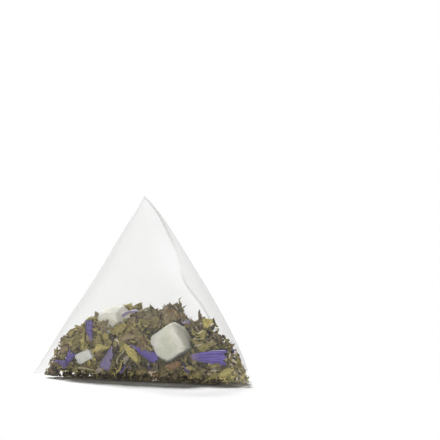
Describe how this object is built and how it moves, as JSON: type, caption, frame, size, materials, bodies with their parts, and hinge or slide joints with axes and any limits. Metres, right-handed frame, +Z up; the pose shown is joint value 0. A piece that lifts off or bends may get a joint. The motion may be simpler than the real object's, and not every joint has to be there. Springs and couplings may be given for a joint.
{
  "type": "pyramid tea bag",
  "caption": "Four-cornered bag of translucent mesh, sealed flat at both ends, standing on one face over a heap of cut herb, blue petals and dried fruit.",
  "frame": {"origin": "on the table under the middle of the three standing corners, in the bag's flat base", "axes": "+Z up, -Y out of the steepest face, X along the front seal"},
  "size_m": [0.0604, 0.0457, 0.0456],
  "materials": {
    "mesh": "fine translucent white mesh, heat sealed",
    "herb": "fine cut dried herb, matt",
    "leaf": "crumpled dried leaf, matt",
    "petal": "dried violet-blue petal",
    "fruit": "pale dried fruit, slightly translucent",
    "stalk": "thin dried stalk, matt"
  },
  "bodies": {
    "root": {"fruit_cube_front": "fruit", "fruit_cube_rear": "fruit", "fruit_piece_left": "fruit", "leaf_01": "leaf", "leaf_02": "leaf", "leaf_03": "leaf", "leaf_04": "leaf", "leaf_05": "leaf", "leaf_06": "leaf", "leaf_07": "leaf", "leaf_08": "leaf", "leaf_09": "leaf", "leaf_10": "leaf", "leaf_11": "leaf", "leaf_12": "leaf", "leaf_13": "leaf", "leaf_14": "leaf", "leaf_15": "leaf", "leaf_16": "leaf", "leaf_17": "leaf", "leaf_18": "leaf", "leaf_19": "leaf", "leaf_20": "leaf", "leaf_21": "leaf", "leaf_22": "leaf", "leaf_23": "leaf", "leaf_24": "leaf", "leaf_25": "leaf", "leaf_26": "leaf", "leaf_27": "leaf", "leaf_28": "leaf", "leaf_29": "leaf", "leaf_30": "leaf", "leaf_bed": "herb", "mesh_bag": "mesh", "petal_01": "petal", "petal_02": "petal", "petal_03": "petal", "petal_04": "petal", "petal_05": "petal", "petal_06": "petal", "petal_07": "petal", "petal_08": "petal", "petal_09": "petal", "petal_10": "petal", "petal_11": "petal", "petal_12": "petal", "petal_13": "petal", "petal_14": "petal", "petal_15": "petal", "stalk_01": "stalk", "stalk_02": "stalk", "stalk_03": "stalk", "stalk_04": "stalk", "stalk_05": "stalk", "stalk_06": "stalk", "stalk_07": "stalk"}
  },
  "joints": []
}
